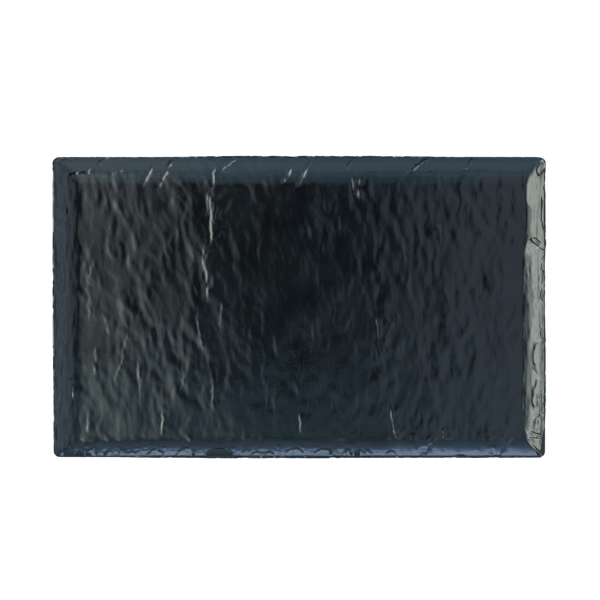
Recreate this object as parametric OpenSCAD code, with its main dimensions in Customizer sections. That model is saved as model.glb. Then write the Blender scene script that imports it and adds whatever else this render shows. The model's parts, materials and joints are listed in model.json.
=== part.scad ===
// Slate-look melamine platter of gastronorm 1/1 size, on four anti-slip feet.
// Millimetres. X runs along the platter, Y across it and Z up from the table.
// The origin is on the table, under the middle of the platter.

/* [Platter] */
// Length over the rim, the long side of a gastronorm 1/1 footprint
platter_l = 530; // [360:1:640]
// Width over the rim, the short side of a gastronorm 1/1 footprint
platter_w = 325; // [240:1:400]
// Height of the rim above the table
platter_h = 20; // [16:0.5:30]
// Radius of the four corners of the rim, seen from above
corner_r = 8; // [5:0.5:14]

/* [Wall] */
// Thickness of the moulded shell under the slate face
shell_t = 3.5; // [2.5:0.1:5]
// Thickness of the slate face that is pressed onto the shell
face_t = 1.5; // [1.2:0.1:2.5]
// Width of the flat land on top of the rim
lip_w = 3; // [2.5:0.1:8]
// Radius of the cove that rises from the floor to the rim
cove_r = 32; // [20:1:60]

/* [Rim chips] */
// Distance between chips along the rim
chip_pitch = 22; // [16:1:60]
// Radius of the scoop that each chip leaves
chip_r = 17; // [10:0.5:30]
// Depth of the deepest chip, across the rim's outer edge
chip_depth = 1.1; // [0.5:0.1:1.4]

/* [Floor clefts] */
// Number of clefts across the floor
cleft_count = 18; // [6:1:30]
// Length of the longest cleft
cleft_l = 96; // [40:1:110]
// Width of the widest cleft, at its middle
cleft_w = 6; // [3:0.5:10]
// Depth of each cleft below the floor
cleft_depth = 0.4; // [0.2:0.1:0.8]
// Lean of the clefts at the left end of the floor, from the Y axis, in degrees
cleft_lean = 22; // [0:1:35]

/* [Feet] */
// Gap between the table and the flat underside of the shell
foot_gap = 2; // [1.5:0.1:5]
// Diameter of a foot pad
foot_d = 18; // [12:1:30]
// Distance from the edge of the flat underside to the middle of a foot
foot_margin = 26; // [20:1:60]
// Radius of the rounded lower edge of a foot pad
foot_edge_r = 0.7; // [0.3:0.1:0.9]
// Diameter of the shallow grip cup under a foot pad
cup_d = 9; // [5:0.5:11]
// Depth of the grip cup
cup_depth = 0.5; // [0.2:0.1:0.8]
// Depth of a foot's seat above the flat underside
seat_depth = 0.8; // [0.4:0.1:1.2]
// Clearance all round a foot pad in its seat
seat_clearance = 0.25; // [0.1:0.05:0.5]
// Width of the moulded collar around a foot's seat
collar_w = 3; // [2:0.5:6]
// Height that the collar stands below the flat underside
collar_h = 0.8; // [0.3:0.1:1.2]
// Thickness of the adhesive disc that holds a foot pad in its seat
adhesive_t = 0.3; // [0.1:0.05:0.5]
// Distance that the adhesive disc stops short of the foot pad's edge
adhesive_inset = 1.5; // [0.5:0.5:3]

/* [Hidden] */
$fn = 96;
// Fineness of the large circles that bound a cleft
lens_fn = 360;
// Distance that a cutting shape runs past what it cuts
over = 20;

melamine_black = [0.09, 0.10, 0.11];
slate_blue_black = [0.14, 0.17, 0.20];
silicone_grey = [0.24, 0.25, 0.26];
adhesive_white = [0.85, 0.85, 0.82];

// The wall is built up from the table: gap, shell, face, then the rim's rise
base_z = foot_gap;
floor_z = base_z + shell_t + face_t;
rim_rise = platter_h - floor_z;
cove_rise = min(rim_rise, cove_r);
cove_w = sqrt(cove_r * cove_r - pow(cove_r - cove_rise, 2));
rim_w = lip_w + cove_w;

// Half sizes of the flat floor, which is the flat underside too
floor_x = platter_l / 2 - rim_w;
floor_y = platter_w / 2 - rim_w;

foot_x = floor_x - foot_margin;
foot_y = floor_y - foot_margin;
seat_top_z = base_z + seat_depth;
foot_top_z = seat_top_z - adhesive_t;
seat_r = foot_d / 2 + seat_clearance;

// Shares by which chips and clefts vary from one to the next
chip_wander = 0.22;
chip_depth_vary = 0.3;
chip_radius_vary = 0.3;
cleft_length_vary = 0.25;
cleft_width_vary = 0.3;
// Share of a cleft's length that stays clear of the cove, measured from the cleft's middle
cleft_clear = 0.62;

// A repeatable value from -1 to 1 that differs from one count to the next
function scatter(i, seed) = sin(i * 137.508 + seed * 79.3);

// Everything inside the cove, as a section across a dish of this half length.
// Growing it moves the floor down and the cove outwards by the same distance.
module dish_section(half, grow) {
    translate([-half, floor_z - grow])
        square([2 * half, grow + rim_rise + over]);
    for (side = [-1, 1])
        translate([side * half, floor_z + cove_r])
            circle(cove_r + grow);
}

// The dish's hollow, whose coves meet in a mitre at each corner
module dish(grow) {
    intersection() {
        rotate([90, 0, 0])
            linear_extrude(platter_w + 2 * over, center = true)
                dish_section(floor_x, grow);
        rotate([90, 0, 90])
            linear_extrude(platter_l + 2 * over, center = true)
                dish_section(floor_y, grow);
    }
}

// The platter's outline, taken in all round, as a block between two heights
module outline_block(inset, z_low, z_high) {
    l = platter_l - 2 * inset;
    w = platter_w - 2 * inset;
    r = corner_r - inset;
    translate([0, 0, z_low])
        linear_extrude(z_high - z_low) {
            square([l - 2 * r, w], center = true);
            square([l, w - 2 * r], center = true);
            for (x = [-1, 1], y = [-1, 1])
                translate([x * (l / 2 - r), y * (w / 2 - r)])
                    circle(r);
        }
}

module at_feet() {
    for (x = [-1, 1], y = [-1, 1])
        translate([x * foot_x, y * foot_y, 0])
            children();
}

module foot_collar() {
    translate([0, 0, base_z - collar_h])
        cylinder(h = collar_h + seat_depth, r = seat_r + collar_w);
}

module foot_seat() {
    cylinder(h = seat_top_z, r = seat_r);
}

// One scoop out of the rim's outer top edge, with that edge along X through the origin
module chip(radius, depth) {
    reach = (radius - depth) * sqrt(0.5);
    translate([0, reach, reach])
        sphere(radius);
}

// Chips along one side of the rim, whose middle is at the origin and which faces +Y
module side_chips(side_l, seed) {
    count = floor((side_l - 2 * corner_r) / chip_pitch);
    step = (side_l - 2 * corner_r) / count;
    for (i = [0 : count - 1]) {
        along = (i - (count - 1) / 2 + chip_wander * scatter(i, seed)) * step;
        depth = chip_depth * (1 - chip_depth_vary + chip_depth_vary * scatter(i, seed + 1));
        radius = chip_r * (1 + chip_radius_vary * scatter(i, seed + 2));
        translate([along, 0, 0])
            chip(radius, depth);
    }
}

module rim_chips() {
    for (turn = [0, 1]) {
        rotate([0, 0, 180 * turn])
            translate([0, platter_w / 2, platter_h])
                side_chips(platter_l, 3 + 5 * turn);
        rotate([0, 0, 90 + 180 * turn])
            translate([0, platter_l / 2, platter_h])
                side_chips(platter_w, 11 + 5 * turn);
    }
}

// The overlap of two large circles: a long thin leaf that lies along Y
module leaf(length, width) {
    r = (length * length + width * width) / (4 * width);
    intersection_for (side = [-1, 1])
        translate([side * (r - width / 2), 0])
            circle(r, $fn = lens_fn);
}

// Clefts along the slate's grain, which leans at the left end and stands up towards the right
module floor_clefts() {
    step = 2 * floor_x / cleft_count;
    for (i = [0 : cleft_count - 1]) {
        length = cleft_l * (1 - cleft_length_vary + cleft_length_vary * scatter(i, 2));
        width = cleft_w * (1 - cleft_width_vary + cleft_width_vary * scatter(i, 4));
        x = -floor_x + (i + 0.5) * step;
        y = (floor_y - cleft_clear * cleft_l) * scatter(i, 6);
        lean = cleft_lean * (0.5 - x / (2 * floor_x));
        translate([x, y, floor_z - cleft_depth])
            rotate([0, 0, lean])
                linear_extrude(cleft_depth + over)
                    leaf(length, width);
    }
}

module platter_shell() {
    color(melamine_black)
        difference() {
            union() {
                intersection() {
                    dish(face_t + shell_t);
                    outline_block(face_t, 0, platter_h - face_t);
                }
                at_feet() foot_collar();
            }
            dish(face_t);
            at_feet() foot_seat();
        }
}

module slate_face() {
    color(slate_blue_black)
        difference() {
            intersection() {
                dish(face_t + shell_t);
                outline_block(0, 0, platter_h);
            }
            difference() {
                outline_block(face_t, -over, platter_h - face_t);
                dish(face_t);
            }
            dish(0);
            rim_chips();
            floor_clefts();
        }
}

// Half section of a foot pad, from its axis outwards
module foot_section() {
    r = foot_d / 2;
    translate([0, foot_edge_r])
        square([r, foot_top_z - foot_edge_r]);
    square([r - foot_edge_r, foot_top_z]);
    translate([r - foot_edge_r, foot_edge_r])
        circle(foot_edge_r);
}

module foot(x, y) {
    cup_r = (cup_d * cup_d / 4 + cup_depth * cup_depth) / (2 * cup_depth);
    color(silicone_grey)
        translate([x * foot_x, y * foot_y, 0])
            difference() {
                rotate_extrude() foot_section();
                translate([0, 0, cup_depth - cup_r])
                    sphere(cup_r);
            }
}

module foot_adhesive() {
    color(adhesive_white)
        at_feet()
            translate([0, 0, foot_top_z])
                cylinder(h = adhesive_t, r = foot_d / 2 - adhesive_inset);
}

platter_shell();
slate_face();
foot(-1, -1);  // foot_front_left
foot(1, -1);  // foot_front_right
foot(-1, 1);  // foot_rear_left
foot(1, 1);  // foot_rear_right
foot_adhesive();
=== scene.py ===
"""Dresses a slate-look melamine platter and sets it under soft studio light.

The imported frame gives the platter's size. The slate face is modelled here as a relief on a graded grid
that follows the coved dish: ripples along the stone's grain, clefts across the floor and conchoidal chips
round the rim. The moulded shell, the foot pads and their adhesive keep the frame's shapes and are finished
with shader nodes.
"""
import json
import logging
import math
import random
from dataclasses import dataclass
from enum import Enum
from typing import Callable, Iterator

import bmesh
import bpy
import numpy as np
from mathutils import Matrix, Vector, noise


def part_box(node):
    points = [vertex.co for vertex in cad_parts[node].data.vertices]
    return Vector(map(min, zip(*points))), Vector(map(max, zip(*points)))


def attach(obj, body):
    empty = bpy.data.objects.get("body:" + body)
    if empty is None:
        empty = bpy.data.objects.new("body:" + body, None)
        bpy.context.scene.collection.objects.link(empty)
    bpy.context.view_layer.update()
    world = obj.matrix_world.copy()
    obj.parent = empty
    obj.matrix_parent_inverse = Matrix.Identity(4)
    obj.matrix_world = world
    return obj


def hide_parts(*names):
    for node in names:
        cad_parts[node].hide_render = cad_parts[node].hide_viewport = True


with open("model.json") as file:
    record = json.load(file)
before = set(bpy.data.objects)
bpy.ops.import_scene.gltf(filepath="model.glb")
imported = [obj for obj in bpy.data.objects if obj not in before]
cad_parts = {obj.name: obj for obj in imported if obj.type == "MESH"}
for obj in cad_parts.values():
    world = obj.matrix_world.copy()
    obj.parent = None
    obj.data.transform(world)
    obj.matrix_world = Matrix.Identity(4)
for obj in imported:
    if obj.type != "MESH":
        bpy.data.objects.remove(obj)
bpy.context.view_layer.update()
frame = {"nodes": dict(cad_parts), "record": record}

MM = 0.001
TINY = 1e-9
BODY = "root"
LOG = logging.getLogger("platter")

Array = np.ndarray
Colour = tuple[float, float, float]
Point = tuple[float, float]
Route = tuple[Point, ...]


class Facing(Enum):
    """The way that a cleft's steep face looks, seen from above. A groove has a face on both sides."""

    LEFT = 1
    RIGHT = -1
    GROOVE = 0


@dataclass(frozen=True)
class Cove:
    """The cove along one side of the rim.

    It has the way that the side looks out, the angle in radians at which the cove leaves the floor, the
    power by which it steepens, and in metres the width of its flat lip and how far its foot lies outside
    the edge of the shell's flat floor.
    """

    out: tuple[int, int]
    foot: float
    power: float
    lip: float
    widened: float


class Side(Enum):
    """A side of the rim, with its cove."""

    LEFT = Cove((-1, 0), 0.0, 2.5, 2.0 * MM, -3.2 * MM)
    RIGHT = Cove((1, 0), math.radians(11.7), 2.5, 2.5 * MM, 5.6 * MM)
    NEAR = Cove((0, -1), math.radians(20.0), 2.0, 2.9 * MM, 8.0 * MM)
    FAR = Cove((0, 1), math.radians(3.0), 2.2, 2.2 * MM, -3.5 * MM)


def smooth_step(low: float, high: float, value: Array) -> Array:
    """A smooth rise from 0 at low to 1 at high."""
    share = np.clip((value - low) / (high - low), 0.0, 1.0)
    return share * share * (3.0 - 2.0 * share)


def profile(points: Route, place: Array) -> Array:
    """The height at each place of a line drawn through some points."""
    return np.interp(place, *zip(*points))


def stone_noise(across: Array, along: Array, layer: float) -> Array:
    """Smooth noise over a plane, from about -1 to 1, which differs from layer to layer."""
    values = (noise.noise((a, b, layer)) for a, b in zip(across, along))
    return np.fromiter(values, float, count=len(across))


@dataclass(frozen=True)
class Sheet:
    """A sheet of smooth noise over the plan, with its wavelengths. Sizes are in millimetres."""

    rise: float
    across: float
    along: float
    layer: float

    def at(self, x: Array, y: Array) -> Array:
        """Height of the sheet at each point."""
        return self.rise * stone_noise(x / self.across, y / self.along, self.layer)


def heaped(sheets: tuple[Sheet, ...], x: Array, y: Array) -> Array:
    """Height at each point of some sheets that lie on each other."""
    return sum(sheet.at(x, y) for sheet in sheets)


@dataclass
class Dish:
    """The coved dish: a flat floor, a cove all round it and a flat lip. Sizes are in metres."""

    half_x: float
    half_y: float
    floor_z: float
    top_z: float
    rim: float = 28.75 * MM
    wall_radius: float = 32.0 * MM
    corner_radius: float = 8.0 * MM
    corner_blend: Point = (2.3, 16.0)
    face: float = 1.5 * MM
    wall: float = 5.0 * MM

    @classmethod
    def from_frame(cls) -> "Dish":
        """Reads the dish's overall sizes from the slate face and the serving floor's mount.

        Returns:
            The dish.
        """
        low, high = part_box("slate_face")
        mounts = {mount["name"]: mount for mount in frame["record"]["mounts"]}
        floor_z = mounts["serving_floor"]["pos_m"][2]
        return cls((high.x - low.x) / 2, (high.y - low.y) / 2, floor_z, high.z)

    def half(self, side: Side) -> float:
        """Distance from the platter's middle to the edge of a side."""
        return self.half_x if side.value.out[0] else self.half_y

    def run(self, side: Side) -> float:
        """Width of a side's cove, from its foot to the lip."""
        return self.rim - side.value.lip - side.value.widened

    def past_foot(self, side: Side, place: Array, sway: Array | float) -> Array:
        """Share of a side's cove that is passed at each place, which is measured towards that side."""
        return ((place - self.half(side) + side.value.lip) / (self.run(side) + sway) + 1.0).clip(0.0)

    def climb(self, x: Array, y: Array, sway: tuple = (0.0, 0.0)) -> tuple[Array, Array]:
        """How far up its cove each point lies.

        Args:
            x, y: Coordinates of each point.
            sway: How far the foot of the cove is drawn inwards at each point, at the ends and at the sides.

        Returns:
            The share of the way from the floor to the lip, where the coves of an end and a side blend at a
            corner, and the end's part in it.
        """
        right, left = self.past_foot(Side.RIGHT, x, sway[0]), self.past_foot(Side.LEFT, -x, sway[0])
        far, near = self.past_foot(Side.FAR, y, sway[1]), self.past_foot(Side.NEAR, -y, sway[1])
        a, b = np.where(x > 0.0, right, left), np.where(y > 0.0, far, near)
        most = np.maximum(np.maximum(a, b), TINY)
        soft, keen = self.corner_blend
        blend = soft + (keen - soft) * np.minimum(most, 1.0) ** 3
        share = most * (1.0 + (np.minimum(a, b) / most) ** blend) ** (1.0 / blend)
        return np.minimum(share, 1.0), a ** 3 / np.maximum(a ** 3 + b ** 3, TINY)

    def inner(self, x: Array, y: Array, sway: tuple, straightened: Array) -> Array:
        """Height of the dish's inner surface, up to the flat lip.

        Args:
            x, y: Coordinates of each point.
            sway: How far the foot of the cove is drawn inwards at each point, at the ends and at the sides.
            straightened: Share by which the cove of an end is drawn straight at each point.

        Returns:
            The height of each point.
        """
        climb, end = self.climb(x, y, sway)

        def mixed(value: Callable[[Side], float]) -> Array:
            """A value of the sides, mixed at each point."""
            ends = np.where(x > 0.0, value(Side.RIGHT), value(Side.LEFT))
            return end * ends + (1.0 - end) * np.where(y > 0.0, value(Side.FAR), value(Side.NEAR))

        rise = self.top_z - self.floor_z
        straight = mixed(lambda side: math.tan(side.value.foot) * self.run(side) / rise)
        straight += end * straightened * (1.0 - straight)
        curved = climb ** mixed(lambda side: side.value.power)
        return self.floor_z + rise * (straight * climb + (1.0 - straight) * curved)

    def wall_height(self, depth: float, x: Array, y: Array) -> Array:
        """Height of a surface of the wall, whose coves meet in a mitre.

        Args:
            depth: How deep in the wall the surface lies, from the plain dish's inner side.
            x, y: Coordinates of each point.

        Returns:
            The height of each point.
        """
        radius = self.wall_radius + depth
        past_floor = np.maximum(np.abs(x) - self.half_x, np.abs(y) - self.half_y) + self.rim
        return self.floor_z + self.wall_radius - np.sqrt(radius ** 2 - past_floor.clip(0.0, radius) ** 2)

    def shell(self, x: Array, y: Array) -> Array:
        """Height at each point of the moulded shell's inner surface, which the face rests on."""
        return np.minimum(self.wall_height(self.face, x, y), self.top_z - self.face)

    def outer(self, x: Array, y: Array) -> Array:
        """Height of the shell's outer wall at each point."""
        return self.wall_height(self.wall, x, y)

    def outward(self, x: Array, y: Array) -> tuple[Array, Array, Array]:
        """The way out of the outline.

        Args:
            x, y: Coordinates of each point.

        Returns:
            The x and the y of the direction to the nearest point of the outline, and its distance.
        """
        r = self.corner_radius
        a, b = np.abs(x) - (self.half_x - r), np.abs(y) - (self.half_y - r)
        corner = (a > 0) & (b > 0)
        length = np.maximum(np.hypot(a, b), TINY)
        out_x = np.where(corner, a / length, a > b) * np.sign(x)
        out_y = np.where(corner, b / length, a <= b) * np.sign(y)
        return out_x, out_y, r - np.where(corner, length, np.maximum(a, b))

    def round_corners(self, x: Array, y: Array) -> tuple[Array, Array]:
        """Draws the square corners of a plan in to the outline's corner radius.

        Args:
            x, y: Coordinates of each point.

        Returns:
            The moved x and y.
        """
        flat_x, flat_y = self.half_x - self.corner_radius, self.half_y - self.corner_radius
        a, b = (np.abs(x) - flat_x).clip(0.0), (np.abs(y) - flat_y).clip(0.0)
        draw = np.maximum(a, b) / np.maximum(np.hypot(a, b), TINY)
        in_corner = (a > 0) & (b > 0)
        return (np.where(in_corner, np.sign(x) * (flat_x + a * draw), x),
                np.where(in_corner, np.sign(y) * (flat_y + b * draw), y))


@dataclass(frozen=True)
class Cleft:
    """A line along which a thin leaf of the stone has split off, or a groove. Sizes are in millimetres."""

    facing: Facing
    rise: float
    run: float
    fade: float
    route: Route
    taper: float = 0.25
    undercut: float = 0.35

    def locate(self, x: Array, y: Array) -> tuple[Array, Array]:
        """Finds each point's place beside the route.

        Args:
            x, y: Coordinates of each point.

        Returns:
            The distance from the route, positive on its right, and the share of the route passed.
        """
        best = np.full(len(x), np.inf)
        side, share = np.zeros(len(x)), np.zeros(len(x))
        lengths = [math.dist(a, b) for a, b in zip(self.route, self.route[1:])]
        done = 0.0
        for (ax, ay), (bx, by), length in zip(self.route, self.route[1:], lengths):
            tx, ty = (bx - ax) / length, (by - ay) / length
            nx, ny = (ty, -tx) if ty > 0 else (-ty, tx)
            t = np.clip((x - ax) * tx + (y - ay) * ty, 0.0, length)
            dx, dy = x - ax - t * tx, y - ay - t * ty
            gap = np.hypot(dx, dy)
            nearer = gap < best
            best = np.where(nearer, gap, best)
            side = np.where(nearer, np.sign(dx * nx + dy * ny), side)
            share = np.where(nearer, (done + t) / sum(lengths), share)
            done += length
        return best * side, share

    def relief(self, x: Array, y: Array) -> Array:
        """What the cleft adds to the stone, less towards the ends of its route.

        Args:
            x, y: Coordinates of each point.

        Returns:
            The height that it adds at each point.
        """
        across, share = self.locate(x, y)
        rise = self.rise * smooth_step(0.0, self.taper, share) * smooth_step(1.0, 1.0 - self.taper, share)
        if self.facing is Facing.GROOVE:
            return -rise * np.exp(-(across / self.run) ** 2)
        across = across * self.facing.value
        step = 0.5 * (1.0 + np.tanh(2.0 * across / self.run))
        high = step * np.exp(-across.clip(0.0) / self.fade)
        low = (1.0 - step) * np.exp(2.0 * across.clip(max=0.0) / self.fade)
        return rise * (high - self.undercut * low)


def clefts(facing: Facing, rise: float, run: float, fade: float, *routes: Route) -> list[Cleft]:
    """Clefts of one kind along several routes. A groove doesn't fade."""
    return [Cleft(facing, rise, run, fade, route) for route in routes]


@dataclass(frozen=True)
class Chip:
    """A conchoidal flake knocked off the rim. Sizes are in millimetres, and the turn is in radians."""

    middle: Point
    along: float
    across: float
    depth: float
    turn: float
    brow: float = 1.2
    shelf: float = -0.3

    def scoop(self, x: Array, y: Array) -> Array:
        """The scar that the flake leaves.

        Args:
            x, y: Coordinates of each point.

        Returns:
            The depth of the scar at each point.
        """
        dx, dy = x - self.middle[0], y - self.middle[1]
        c, s = math.cos(self.turn), math.sin(self.turn)
        radius = np.hypot((dx * c + dy * s) / self.along, (dy * c - dx * s) / self.across)
        wall = ((1.0 - radius) * min(self.along, self.across) / self.brow).clip(0.0, 1.0)
        return self.depth * wall * (1.0 - self.shelf * (1.0 - radius.clip(max=1.0) ** 2))


def chips(depth: float, brow: float, shelf: float, *places: tuple[float, ...]) -> list[Chip]:
    """Chips of one kind, each placed by its x, y, half length, half width and turn in degrees."""
    return [Chip((x, y), along, across, depth, math.radians(turn), brow, shelf)
            for x, y, along, across, turn in places]


@dataclass(frozen=True)
class ChipRow:
    """A run of chips of one kind along one side of the rim. Sizes are in millimetres."""

    side: Side
    spacing: float
    along: Point
    across: Point
    inset: Point
    depth: Point
    margin: float = 5.0
    skew: float = 0.3
    unevenness: Point = (0.55, 1.45)

    def scatter(self, dish: Dish, chance: random.Random) -> Iterator[Chip]:
        """Scatters the row's chips.

        Args:
            dish: The dish whose rim is chipped.
            chance: Source of the sizes and places.

        Yields:
            The chips, from one end of the side to the other.
        """
        out_x, out_y = self.side.value.out
        half_x, half_y = dish.half_x / MM, dish.half_y / MM
        half = half_y if out_x else half_x
        place = -half + self.margin
        while place < half - self.margin:
            inset = chance.uniform(*self.inset)
            x = out_x * (half_x - inset) + (0.0 if out_x else place)
            y = out_y * (half_y - inset) + (place if out_x else 0.0)
            turn = (math.pi / 2 if out_x else 0.0) + chance.uniform(-self.skew, self.skew)
            yield Chip((x, y), chance.uniform(*self.along), chance.uniform(*self.across),
                       chance.uniform(*self.depth), turn)
            place += self.spacing * chance.uniform(*self.unevenness)


LEFT, RIGHT, GROOVE = Facing
CLEFTS: tuple[Cleft, ...] = (
    # The long crack left of the middle, and the leaves beside it
    *clefts(LEFT, 1, 1.6, 9, ((-63, 161), (-76, 153), (-86, 146.5))),
    *clefts(LEFT, 1.2, 2, 6, ((-88, 151), (-93, 145), (-92, 131))),
    *clefts(LEFT, 1.35, 2.2, 14, ((-92, 136), (-96.5, 119), (-95, 102), (-96, 85), (-95, 68))),
    *clefts(LEFT, 0.9, 1.9, 9, ((-99, 64), (-102, 44), (-99.5, 24), (-100, 3))),
    *clefts(LEFT, 0.5, 1.6, 5, ((-98.5, 128), (-100, 112), (-98, 96)), ((-93, 100), (-93.5, 84), (-97, 66)),
            ((-102, 74), (-104.5, 52), (-103, 34))),
    # Strokes on the floor
    *clefts(LEFT, 0.7, 1.8, 9, ((57.5, 142), (60, 117)), ((65, 141), (63, 117)),
            ((-0.5, -115), (1, -126), (0, -139))),
    *clefts(LEFT, 0.8, 1.6, 9, ((-247, -74), (-244.5, -101))),
    *clefts(LEFT, 0.9, 1.7, 9, ((-149, -104), (-148.5, -126), (-150, -144)),
            ((97.5, -105), (101, -124), (105, -147))),
    *clefts(LEFT, 0.45, 2, 9, ((-126.5, -64), (-125.5, -83), (-130, -93)),
            ((-113, -3), (-108, -27), (-103.5, -55)), ((-84, 8), (-86, -24))),
    *clefts(LEFT, 0.4, 2, 9, ((-94, -72), (-94, -117)), ((-221, -40), (-220, -57), (-222, -77)),
            ((-187, -20), (-186, -30), (-191, -46), (-192, -59), (-198, -72), (-201, -88)),
            ((-226, 8), (-228, -15)), ((-213, -6), (-205, -33)), ((-224, 50), (-228, 26))),
    *clefts(LEFT, 0.5, 2, 9, ((-229, -113), (-230, -138)), ((82, -3), (86.5, -32), (81, -42))),
    *clefts(LEFT, 0.6, 2, 9, ((154, -130), (156, -145))),
    *clefts(LEFT, 0.35, 2, 9, ((-175, -48), (-172, -114))),
    *clefts(RIGHT, 0.4, 2, 9, ((120, 42), (119, 22), (123, 8))),
    *clefts(RIGHT, 0.35, 2, 9, ((106, -8), (98, -24), (94, -46)), ((152, 92), (155, 66)),
            ((112, 70), (116, 48))),
    # The far side of the rim
    *clefts(GROOVE, 1.15, 1.5, 0, ((-157, 156), (-163, 144), (-172, 129)),
            ((-135, 161), (-143, 148), (-155, 127))),
    *clefts(GROOVE, 1.1, 1.4, 0, ((-8, 153), (-12, 144), (-20, 132))),
    *clefts(GROOVE, 1.15, 1.4, 0, ((14, 159), (1.5, 139), (-4, 129)), ((142, 162), (126, 152), (115, 140))),
    *clefts(GROOVE, 1, 1.3, 0, ((57, 158), (46, 144)), ((186, 160), (178, 146))),
    *clefts(GROOVE, 2.2, 0.95, 0, ((-254, 142), (-243, 144.3), (-239, 145.4), (-233, 146), (-226, 145))),
    *clefts(LEFT, 0.7, 1.2, 2, ((-241, 146), (-236, 147), (-230, 147.5))),
    *clefts(LEFT, 1, 1.4, 5, ((-222, 150), (-227, 147.5), (-226, 143.5))),
    *clefts(GROOVE, 0.7, 1.3, 0, ((-222, 149), (-214, 155), (-206, 161))),
    *clefts(GROOVE, 0.6, 1.3, 0, ((-206, 144), (-189, 149))),
    # The right end: its crack, and the broken lines along it
    *clefts(RIGHT, 1.5, 1.6, 3, ((244, 81), (248, 76.5), (253, 71), (259, 64.6), (268, 58))),
    *clefts(GROOVE, 1.6, 1, 0, ((250, 74), (256, 67.5), (260, 63.5), (264, 60.5), (274, 54))),
    *clefts(RIGHT, 0.9, 1.3, 2, ((250, 77.5), (256, 72), (261, 67))),
    *clefts(RIGHT, 2, 1.8, 2.5, ((257.5, -88), (258.8, -102), (258.3, -116), (259.5, -132))),
    *clefts(RIGHT, 1.8, 1.6, 2, ((261.5, -84), (262.2, -104), (262, -124), (261.5, -146))),
    *clefts(RIGHT, 0.7, 2.4, 2.5, ((250, 62), (249.5, 44), (247.5, 24))),
    *clefts(RIGHT, 1, 1.8, 2.5, ((260.5, 125), (261, 115), (261.5, 105))),
    *clefts(RIGHT, 0.7, 1.8, 2.5, ((260, 45), (259, 32), (258.5, 18))),
    *clefts(RIGHT, 1.5, 1.8, 2.5, ((246, -133), (254, -135.5), (262, -136.5), (270, -137)),
            ((246, -138), (254, -140.5), (262, -142), (270, -143))),
    *clefts(LEFT, 1.2, 2.4, 3, ((251, -142), (256, -149), (263, -158))),
    *clefts(RIGHT, 1.2, 2.4, 1.8, ((257, -128), (258.5, -138), (256.5, -146)),
            ((261.5, -129), (262, -139), (261.5, -149))),
    # The near side of the rim
    *clefts(RIGHT, 1.2, 2.4, 14, ((151, -137), (126, -175))),
    *clefts(RIGHT, 1.5, 2.8, 14, ((233, -140), (202, -175))),
    *clefts(GROOVE, 0.9, 1.1, 0, ((-23, -147), (-21, -162))),
    *clefts(GROOVE, 0.8, 1.1, 0, ((-173, -146), (-172, -160)), ((-145, -150), (-145, -161)),
            ((5, -149), (5, -160))),
    # The left end
    *clefts(LEFT, 0.65, 2, 3, ((-251, 114), (-250.5, 98), (-252, 82)),
            ((-252, 8), (-253.5, -14), (-253, -32))),
    *clefts(LEFT, 0.6, 1.8, 3, ((-254, 134), (-254.5, 116))),
    *clefts(LEFT, 0.7, 1.8, 2.5, ((-257.5, 64), (-258, 50), (-257, 38))),
    *clefts(LEFT, 0.8, 1.8, 2.5, ((-256, -56), (-256.5, -78))),
    *clefts(LEFT, 0.8, 1.6, 2, ((-259, 106), (-259.5, 90))),
)

RIM_CHIPS: tuple[Chip, ...] = (
    # Along the right end
    *chips(1.4, 1.9, 0.1, (260, 149, 7.5, 4.2, 72)),
    *chips(1.4, 1.5, 0.05, (262.8, 98, 24, 3.2, 91), (263.2, 44, 9, 3.2, 88), (262.9, 14, 13, 3.4, 91),
           (263.4, -27, 9.5, 4.6, 88)),
    *chips(1.5, 2.8, 0.1, (260, -54.5, 21, 8.6, 91), (259.5, -94, 22, 8.2, 85), (260, -130, 18, 7.8, 84)),
    *chips(1.3, 2, 0.1, (262.5, -119, 8, 4, 88)),
    *chips(1.4, 2.2, 0.1, (262.5, -137, 7, 5.6, 95)),
    *chips(1.4, 2, 0.1, (263.5, -140, 8, 3.2, 92)),
    # Along the near side
    *chips(0.75, 1.2, 0.5, (-246, -161, 5, 9, 0), (-236, -161.5, 5.5, 7.5, 0), (-223, -161, 7.5, 8.5, 0),
           (-205, -161.5, 6.5, 7, 0), (-190, -160.5, 5.5, 9, 0), (-179, -161, 5.5, 6.5, 0)),
    *chips(0.9, 1.3, 0.5, (-154.5, -161, 9.5, 8.4, 0), (-122, -161, 11, 9.4, 0), (-85, -161.5, 16, 9.4, 0),
           (-4.8, -161, 11.5, 9.2, 0), (26.5, -161.5, 13, 9.2, 0)),
    *chips(0.9, 1.3, 0.4, (-78, -161.5, 7, 5.4, 0)),
    *chips(0.8, 1.2, 0.5, (-57, -161, 5.5, 8.2, 0), (-46, -161.5, 6, 6.4, 0), (-32, -162, 6, 7.2, 0),
           (52, -161, 6, 8.6, 0), (65, -161, 7, 7.4, 0)),
    *chips(0.9, 1.6, 0.5, (74, -161.5, 5, 9, 0)),
    *chips(1, 1.7, 0.5, (99, -161.5, 7, 7.2, 0)),
    *chips(1, 1.6, 0.4, (172, -162, 9, 4.2, 0)),
)

CHIP_ROWS: tuple[ChipRow, ...] = (
    ChipRow(Side.LEFT, 18, (9, 18), (8, 12), (-1, 2.5), (0.2, 0.4)),
    ChipRow(Side.LEFT, 12, (5, 12), (1.8, 4), (-0.5, 3.5), (0.25, 0.5)),
    ChipRow(Side.RIGHT, 14, (3, 9), (1.6, 3.4), (-0.8, 1), (0.5, 1)),
    ChipRow(Side.NEAR, 22, (2.5, 6), (1.4, 2.4), (-1, 0.4), (0.4, 0.8)),
    ChipRow(Side.FAR, 16, (4, 10), (1.8, 4), (-1.5, 1), (0.25, 0.5)),
)

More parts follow.
